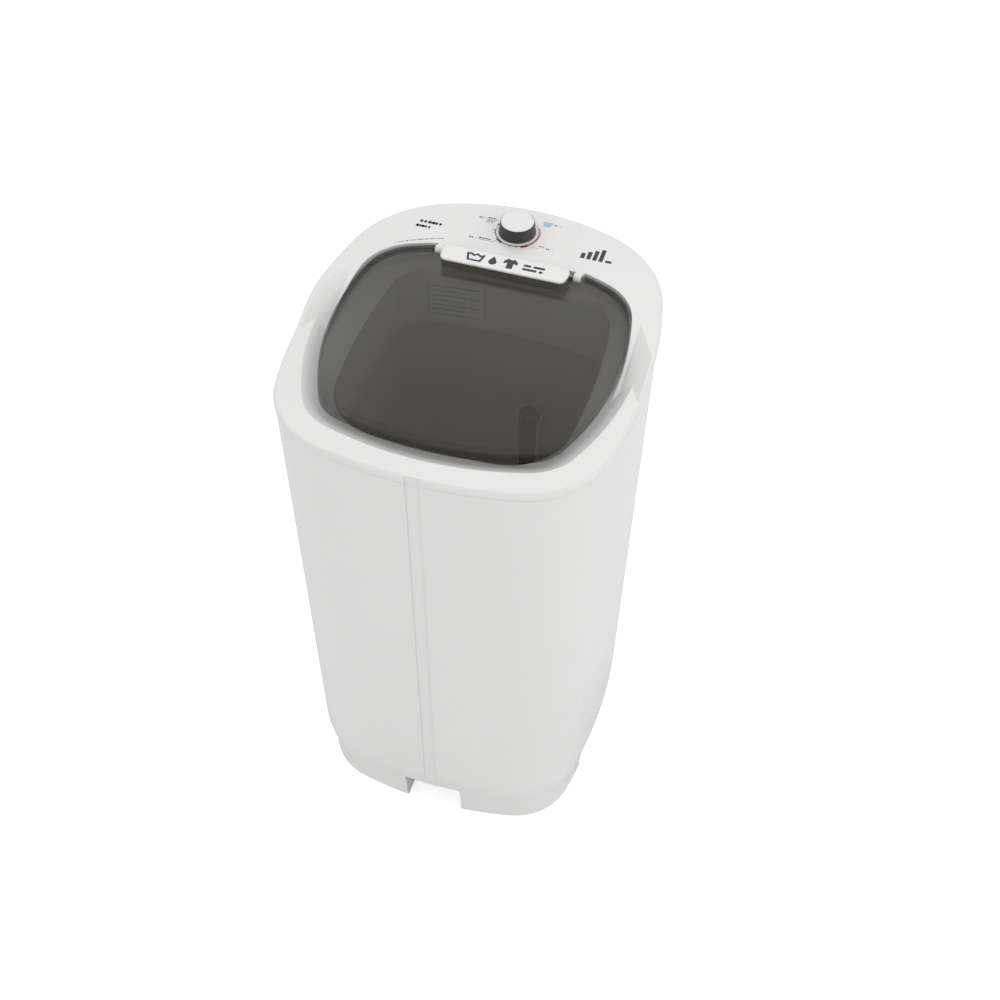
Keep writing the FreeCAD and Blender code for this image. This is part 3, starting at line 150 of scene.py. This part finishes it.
def plastic(name, color, rough, grain=900.0, grain_depth=0.00002, vary=0.03, edge=0.0006, coat=0.0):
    """Moulded plastic: slight colour drift, fine moulding grain, soft edges."""
    g = Graph(name)
    g.link(g.tint(g.noise(6.0), shade(color, 1 - vary), shade(color, 1 + vary / 2)),
           g.shader.inputs["Base Color"])
    g.link(g.spread(g.noise(45.0, 4.0), rough - 0.05, rough + 0.05), g.shader.inputs["Roughness"])
    g.bump(g.noise(grain, 2.0), 0.25, grain_depth, edge)
    g.scalar(IOR=1.49, Coat_Weight=coat, Coat_Roughness=0.12)
    return g.mat


def metal(name, color, rough, brushed=0.0):
    g = Graph(name)
    g.scalar(Metallic=1.0)
    scale = g.add("ShaderNodeMapping")
    scale.inputs["Scale"].default_value = (1.0, 1.0, 1.0 + brushed)
    g.link(g.position(), scale.inputs["Vector"])
    lines = g.add("ShaderNodeTexNoise", Scale=160.0, Detail=5.0)
    g.link(scale.outputs["Vector"], lines.inputs["Vector"])
    g.link(g.tint(g.noise(30.0), shade(color, 0.88), color), g.shader.inputs["Base Color"])
    g.link(g.spread(lines.outputs["Fac"], rough - 0.08, rough + 0.12), g.shader.inputs["Roughness"])
    g.bump(lines.outputs["Fac"], 0.2, 0.00003, 0.0004)
    return g.mat


def rubber(name, color):
    g = Graph(name)
    g.link(g.tint(g.noise(40.0, 5.0), shade(color, 0.7), shade(color, 1.2)), g.shader.inputs["Base Color"])
    g.link(g.spread(g.noise(120.0), 0.62, 0.82), g.shader.inputs["Roughness"])
    g.bump(g.noise(1400.0, 3.0), 0.4, 0.00006, 0.0005)
    return g.mat


def smoked(name):
    """Smoke-tinted see-through acrylic; it shows more reflection at low angles."""
    g = Graph(name)
    dark = linear(41, 37, 31)
    g.link(g.tint(g.noise(5.0), shade(dark, 0.9), shade(dark, 1.1)), g.shader.inputs["Base Color"])
    g.link(g.spread(g.noise(30.0), 0.04, 0.09), g.shader.inputs["Roughness"])
    facing = g.add("ShaderNodeLayerWeight", Blend=0.5)
    low_angle = g.add("ShaderNodeMath", operation="POWER")
    low_angle.inputs[1].default_value = 5.0
    g.link(facing.outputs["Facing"], low_angle.inputs[0])
    g.link(g.spread(low_angle.outputs[0], LID_ALPHA, LID_LOW_ALPHA), g.shader.inputs["Alpha"])
    g.scalar(IOR=1.49)
    g.mat.surface_render_method = "BLENDED"
    return g.mat


def mesh_cloth(name, color):
    """Fine woven mesh: two crossing wave patterns."""
    g = Graph(name)
    weave = []
    for axis in ("X", "Z"):
        wave = g.add("ShaderNodeTexWave", bands_direction=axis, Scale=700.0)
        g.link(g.position(), wave.inputs["Vector"])
        weave.append(wave.outputs["Fac"])
    both = g.add("ShaderNodeMath", operation="MAXIMUM")
    g.link(weave[0], both.inputs[0])
    g.link(weave[1], both.inputs[1])
    g.link(g.tint(both.outputs[0], shade(color, 0.75), color), g.shader.inputs["Base Color"])
    g.bump(both.outputs[0], 0.6, 0.0001)
    g.scalar(Roughness=0.8)
    return g.mat


def ink(name, color, rough=0.35):
    """Printed ink: even colour with a slightly broken surface."""
    g = Graph(name)
    g.link(g.tint(g.noise(300.0), shade(color, 0.94), color), g.shader.inputs["Base Color"])
    g.link(g.spread(g.noise(500.0), rough - 0.05, rough + 0.08), g.shader.inputs["Roughness"])
    return g.mat


WHITE = linear(*(233, 233, 232))
MATERIALS = {
    "white_shell": plastic("white_shell_gloss", WHITE, 0.24, coat=0.25),
    "tub_grey": plastic("tub_grey_plastic", linear(212, 208, 201), 0.38, grain=500.0),
    "smoked": smoked("smoked_acrylic"),
    "smoked_block": plastic("smoked_block_plastic", linear(92, 88, 82), 0.16, vary=0.06, coat=0.6),
    "dark_plastic": plastic("dark_grey_plastic", linear(56, 56, 58), 0.42, grain=1300.0, grain_depth=0.00004),
    "mesh": mesh_cloth("filter_mesh_cloth", linear(22, 21, 19)),
    "print": plastic("print_film", linear(236, 236, 235), 0.30),
    "rubber": rubber("black_rubber", linear(38, 38, 39)),
    "steel": metal("plain_steel", linear(190, 191, 193), 0.34, brushed=6.0),
    "bronze": metal("sintered_bronze", linear(176, 132, 78), 0.45),
    "cast": metal("cast_aluminium", linear(176, 178, 181), 0.48),
    "can": plastic("capacitor_can", linear(214, 214, 208), 0.4),
    "cable": rubber("harness_sleeve", linear(52, 52, 55)),
}
INK_DARK = ink("ink_dark", linear(38, 38, 40))
INK_GREY = ink("ink_grey", linear(120, 121, 124))
INK_RED = ink("ink_red", linear(196, 52, 58))
INK_BLUE = ink("ink_pale_blue", linear(150, 190, 205))


def dress_nodes():
    """Gives every CAD node the material of its slot in the record."""
    slot_of = {s["node"]: s["material_slot"] for s in frame["record"]["subparts"]}
    for name, obj in NODES.items():
        obj.data.materials.clear()
        obj.data.materials.append(MATERIALS[slot_of[name]])


dress_nodes()


# ------------------------------------------------------------------ printed marks
class Print:
    """Thin printed shapes laid on a node's face, drawn in millimetres from an origin point."""

    def __init__(self, name, body, node, origin, material, u=(1, 0, 0), v=(0, 1, 0)):
        self.name, self.body, self.material = name, body, material
        self.origin, self.u, self.v = Vector(origin), Vector(u).normalized(), Vector(v).normalized()
        self.n = self.u.cross(self.v).normalized()
        self.lift = self.n * PRINT_LIFT * MM
        mesh = NODES[node].data
        self.face = BVHTree.FromPolygons([v.co for v in mesh.vertices], [p.vertices for p in mesh.polygons])
        self.verts, self.faces = [], []

    def land(self, x, y):
        """The point of the node's face under drawing point x, y."""
        start = self.origin + self.u * x * MM + self.v * y * MM + self.n * PROBE_HEIGHT
        hit = self.face.ray_cast(start, -self.n)[0]
        if hit is None:
            raise ValueError(f"{self.name}: nothing under {x:.1f}, {y:.1f}")
        return hit

    def fill(self, outline):
        """Closed plate over an outline of (u, v) points."""
        k, count = len(self.verts), len(outline)
        low = [self.land(x, y) for x, y in outline]
        self.verts += low + [p + self.lift for p in low]
        self.faces.append(list(range(k + count - 1, k - 1, -1)))
        self.faces.append(list(range(k + count, k + 2 * count)))
        for i in range(count):
            j = (i + 1) % count
            self.faces.append([k + i, k + j, k + count + j, k + count + i])

    def line(self, points, width):
        """Open stroke of even width with mitred corners."""
        pts = [Vector(p) for p in points]
        sides = []
        for i, p in enumerate(pts):
            a = (p - pts[i - 1] if i else pts[1] - p).normalized()
            b = (pts[i + 1] - p).normalized() if i < len(pts) - 1 else a
            mid = Vector((-(a.y + b.y), a.x + b.x)).normalized()
            reach = width / 2 / max(MITRE_LIMIT, mid.dot(Vector((-a.y, a.x))))
            sides.append((p + mid * reach, p - mid * reach))
        for (left, right), (next_left, next_right) in zip(sides, sides[1:]):
            self.fill([right, next_right, next_left, left])

    def bar(self, x, y, length, height):
        """Bar with round ends, from x, centred on y."""
        r = height / 2
        turn = [math.radians(a) for a in range(-90, 91, 30)]
        right = [(x + length - r + r * math.cos(a), y + r * math.sin(a)) for a in turn]
        left = [(x + r - r * math.cos(a), y - r * math.sin(a)) for a in turn]
        self.fill(right + left)

    def arc(self, x, y, radius, start, end, width, steps=24):
        turn = [math.radians(start + (end - start) * k / steps) for k in range(steps + 1)]
        ring = lambda r: [(x + r * math.cos(a), y + r * math.sin(a)) for a in turn]
        outer, inner = ring(radius + width / 2), ring(radius - width / 2)
        for i in range(steps):
            self.fill([inner[i], outer[i], outer[i + 1], inner[i + 1]])

    def done(self):
        mesh = bpy.data.meshes.new(self.name)
        mesh.from_pydata([tuple(p) for p in self.verts], [], self.faces)
        mesh.materials.append(self.material)
        obj = bpy.data.objects.new(self.name, mesh)
        bpy.context.scene.collection.objects.link(obj)
        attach(obj, self.body)


def basin(p, x, y, size, width):
    """Wash-basin pictogram: a tub outline with a wave across it."""
    half = size / 2
    p.line([(x - half, y + half * 0.55), (x - half * 0.72, y - half * 0.6),
            (x + half * 0.72, y - half * 0.6), (x + half, y + half * 0.55)], width)
    wave = [(x - half * 0.8 + k * size * 0.1, y + half * 0.35 + half * 0.14 * math.sin(k * math.pi / 2))
            for k in range(17) if k * size * 0.1 <= size * 0.8]
    p.line(wave, width)


def shirt(p, x, y, size):
    """Shirt pictogram as a filled outline."""
    h = size / 2
    right = [(0.45, -1.0), (0.45, 0.1), (1.0, -0.1), (0.95, 0.5), (0.4, 1.0), (0.15, 0.78)]
    left = [(-u, v) for u, v in reversed(right)]
    p.fill([(x + h * u, y + h * v) for u, v in left[-1:] + right + left[:-1]])


def drop(p, x, y, size):
    """Water-drop pictogram."""
    r = size * 0.32
    turn = [math.radians(a) for a in range(-215, 36, 25)]
    p.fill([(x + r * math.cos(a), y - size * 0.14 + r * math.sin(a)) for a in turn] + [(x, y + size * 0.5)])


def words(p, x, y, lengths, height, gap):
    """Row of rounded bars in the place of a line of small print."""
    for length in lengths:
        p.bar(x, y, length, height)
        x += length + gap


ring_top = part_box("top_ring")[1].z
dial_lo, dial_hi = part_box("dial_ring")
dial = (dial_lo + dial_hi) / 2
dial_r = (dial_hi.x - dial_lo.x) / 2 / MM
plate_lo, plate_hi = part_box("nameplate")
plate = Vector(((plate_lo.x + plate_hi.x) / 2, (plate_lo.y + plate_hi.y) / 2, plate_hi.z))
tilt = max((p.normal for p in NODES["nameplate"].data.polygons), key=lambda n: n.z)
PLATE_U, PLATE_V = (1, 0, 0), (0, tilt.z, -tilt.y)
label_lo, label_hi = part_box("instruction_label")


def console_print(name, x, y, material):
    """A print on the console, its origin given in millimetres from the dial's centre."""
    return Print(name, "root", "top_ring", (dial.x + x * MM, dial.y + y * MM, ring_top), material)


# Dial markings: fine circle, warm arc and the pointer's start mark.
circle = console_print("dial_circle", 0, 0, INK_DARK)
circle.arc(0, 0, dial_r + 0.8, 0, 360, 1.1, 72)
circle.arc(0, 0, dial_r + 2.0, 222, 242, 2.8, 10)
circle.arc(0, 0, dial_r + 1.9, 160, 166, 2.8, 3)
for angle in (184, 190, 196, 266, 284):
    circle.arc(0, 0, dial_r + 2.4, angle, angle + 1.6, 2.4, 1)
circle.done()
warm = console_print("dial_warm_arc", 0, 0, INK_RED)
warm.arc(0, 0, dial_r + 2.6, -62, 32, 1.2, 24)
warm.arc(0, 0, dial_r + 2.9, -66, -46, 3.0, 8)
warm.done()

# Legends round the dial.
upper_left = console_print("legend_upper_left", -65, 18.5, INK_DARK)
words(upper_left, 0, 0, (3.0, 2.4), 2.8, 0.6)
words(upper_left, 7.0, 0.4, (1.6, 1.2), 0.6, 1.0)
words(upper_left, 13.4, 2.6, (4.0, 2.8, 3.6), 2.6, 0.6)
upper_left.line([(25.4, 3.0), (29.4, -2.6)], 0.6)
upper_left.done()
grey_rows = console_print("legend_upper_left_rows", -51.5, 17.0, INK_GREY)
for row in range(3):
    words(grey_rows, 0, -3.3 * row, (4.6, 3.8, 3.0 - row * 0.6), 1.5, 0.7)
grey_rows.done()
lower_left = console_print("legend_lower_left", -65.6, -29.8, INK_DARK)
words(lower_left, 0, 0, (3.4, 3.0), 2.6, 0.5)
words(lower_left, 9.4, 0, (1.4,), 0.6, 0.8)
words(lower_left, 14.4, 2.0, (4.8, 4.2, 3.8, 3.6), 2.6, 0.7)
lower_left.line([(14.4, -1.8), (36.0, -1.8), (42.0, 3.4)], 0.5)
lower_left.done()
upper_right = console_print("legend_upper_right", 30.6, 31.4, INK_BLUE)
for row in range(4):
    words(upper_right, 0.5 * row, 3.8 - 2.7 * row, (15.4 - 1.4 * row,), 1.9, 0.6)
upper_right.done()
upper_right_words = console_print("legend_upper_right_words", 48.6, 32.6, INK_DARK)
words(upper_right_words, 0, 0, (3.6,), 2.8, 0.8)
words(upper_right_words, 5.4, -0.4, (1.0, 3.6), 0.7, 0.7)
upper_right_words.done()
lower_right = console_print("legend_lower_right", 38.6, -20.8, INK_RED)
words(lower_right, 0, 0, (2.8, 3.2, 2.0), 2.4, 0.5)
lower_right.line([(-8.0, -5.6), (2.0, -5.0)], 0.5)
lower_right.done()
lower_right_words = console_print("legend_lower_right_words", 50.6, -23.4, INK_DARK)
words(lower_right_words, 0, 0, (2.6, 2.2), 2.8, 0.5)
words(lower_right_words, 7.4, 0, (1.0, 1.6), 0.7, 0.7)
lower_right_words.done()

# Two-line mark on the left, load bars on the right, small print along the console's edge.
left_mark = console_print("left_mark", -147.4, -17.5, INK_DARK)
words(left_mark, 0.8, 0.6, (5.6, 4.4, 7.2, 2.0, 5.2, 4.6), 6.0, 1.1)
words(left_mark, 0.0, -10.6, (1.4, 4.2, 1.4, 4.0, 3.6), 5.4, 1.6)
left_mark.done()
right_mark = console_print("right_mark", 103.5, -27.0, INK_DARK)
for k, tall in enumerate((12.0, 17.0, 22.0, 27.0)):
    right_mark.fill([(k * 9.2, 0), (k * 9.2 + 6.2, 0), (k * 9.2 + 6.2, tall), (k * 9.2, tall)])
right_mark.fill([(37.8, 0), (47.0, 0), (47.0, 5.2), (37.8, 5.2)])
right_mark.done()
EDGE_SLOPE, EDGE_BEND = 0.64, -0.0026      # the row of small print follows the edge's curve
EDGE_WORDS = ((2.0, 0.9), (9.6, 1.2), (3.0, 2.4), (9.0, 1.5),
              (9.6, 1.8), (2.6, 2.6), (9.4, 1.3), (9.8, 1.1))
edge_words = console_print("edge_small_print", -165.5, -77.5, INK_GREY)
along = 0.0
for length, tall in EDGE_WORDS:
    ends = [(x, EDGE_SLOPE * x + EDGE_BEND * x * x) for x in (along, along + length)]
    edge_words.line(ends, tall)
    along += length + 1.6
edge_words.done()

# Pictogram row on the nameplate: basin with water, drop, shirt, and a load bar.
mark = Print("nameplate_pictograms", "lid", "nameplate", plate, INK_DARK, u=PLATE_U, v=PLATE_V)
basin(mark, -44, 1, 25, 3.4)
drop(mark, -17, 0.4, 19)
shirt(mark, 9, 1, 21)
words(mark, 28, 3.8, (12.0, 18.0), 4.6, 2.6)
words(mark, 28, -4.0, (22.0, 6.0), 4.6, 2.6)
mark.done()

# Instruction label: frame line at each end and rows of small print.
label = Print("label_print", "root", "instruction_label",
              (label_lo.x, label_lo.y, (label_lo.z + label_hi.z) / 2), INK_GREY, u=(1, 0, 0), v=(0, 0, 1))
label_w, label_h = (label_hi.x - label_lo.x) / MM, (label_hi.z - label_lo.z) / MM
for x in (3.0, label_w - 4.0):
    label.fill([(x, -label_h * 0.4), (x + 0.8, -label_h * 0.4), (x + 0.8, label_h * 0.4), (x, label_h * 0.4)])
for row in range(7):
    z = label_h * (0.32 - 0.11 * row)
    words(label, 8.0, z, (18.0, 11.0, 22.0, 14.0)[row % 2:], 1.2, 2.4)
label.done()


# ------------------------------------------------------------------ stage, light and camera
def floor_material():
    g = Graph("studio_floor")
    seen = g.add("ShaderNodeLightPath").outputs["Is Camera Ray"]
    paper = g.tint(g.noise(2.0), linear(250, 250, 250), linear(252, 252, 252))
    bounce = g.add("ShaderNodeMix", data_type="RGBA")
    bounce.inputs[6].default_value = shade((1, 1, 1), FLOOR_BOUNCE)
    g.link(paper, bounce.inputs[7])
    g.link(seen, bounce.inputs["Factor"])
    g.link(bounce.outputs[2], g.shader.inputs["Base Color"])
    g.scalar(Roughness=0.9, IOR=1.0)
    g.shader.inputs["Emission Color"].default_value = (1, 1, 1, 1)
    g.link(g.spread(seen, 0.0, FLOOR_GLOW), g.shader.inputs["Emission Strength"])
    return g.mat


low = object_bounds()[0].z
floor_mesh = bpy.data.meshes.new("studio_floor")
corners = [(x * FLOOR_HALF, y * FLOOR_HALF, low) for x, y in ((-1, -1), (1, -1), (1, 1), (-1, 1))]
floor_mesh.from_pydata(corners, [], [(0, 1, 2, 3)])
floor_mesh.materials.append(floor_material())
floor = bpy.data.objects.new("studio_floor", floor_mesh)
bpy.context.scene.collection.objects.link(floor)

world = bpy.data.worlds.new("studio")
world.use_nodes = True
bpy.context.scene.world = world
tree = world.node_tree
background = tree.nodes["Background"]
background.inputs["Color"].default_value = (1, 1, 1, 1)
seen = tree.nodes.new("ShaderNodeLightPath")
strength = tree.nodes.new("ShaderNodeMapRange")
strength.inputs["To Min"].default_value = WORLD_LIGHT
strength.inputs["To Max"].default_value = WORLD_SEEN
tree.links.new(seen.outputs["Is Camera Ray"], strength.inputs["Value"])
tree.links.new(strength.outputs["Result"], background.inputs["Strength"])


def softbox(name, place, size, power):
    light = bpy.data.lights.new(name, "AREA")
    light.shape, light.size, light.energy = "DISK", size, power
    obj = bpy.data.objects.new(name, light)
    obj.location = place
    obj.rotation_mode = "QUATERNION"
    obj.rotation_quaternion = (Vector(LIGHT_AIM) - Vector(place)).to_track_quat("-Z", "Y")
    bpy.context.scene.collection.objects.link(obj)


for light in SOFTBOXES:
    softbox(*light)

camera = bpy.data.cameras.new("camera")
camera.sensor_width, camera.lens = SENSOR_MM, LENS_MM
camera.clip_start, camera.clip_end = NEAR, FAR
eye = bpy.data.objects.new("camera", camera)
ahead = Vector((-math.sin(YAW) * math.cos(PITCH), math.cos(YAW) * math.cos(PITCH), -math.sin(PITCH)))
right = Vector((math.cos(YAW), math.sin(YAW), 0))
up = right.cross(ahead)
turned = right * math.cos(ROLL) + up * math.sin(ROLL)
upright = up * math.cos(ROLL) - right * math.sin(ROLL)
eye.matrix_world = Matrix((turned, upright, -ahead)).transposed().to_4x4()
eye.location = EYE
bpy.context.scene.collection.objects.link(eye)
bpy.context.scene.camera = eye
bpy.context.scene.view_settings.view_transform = "Standard"
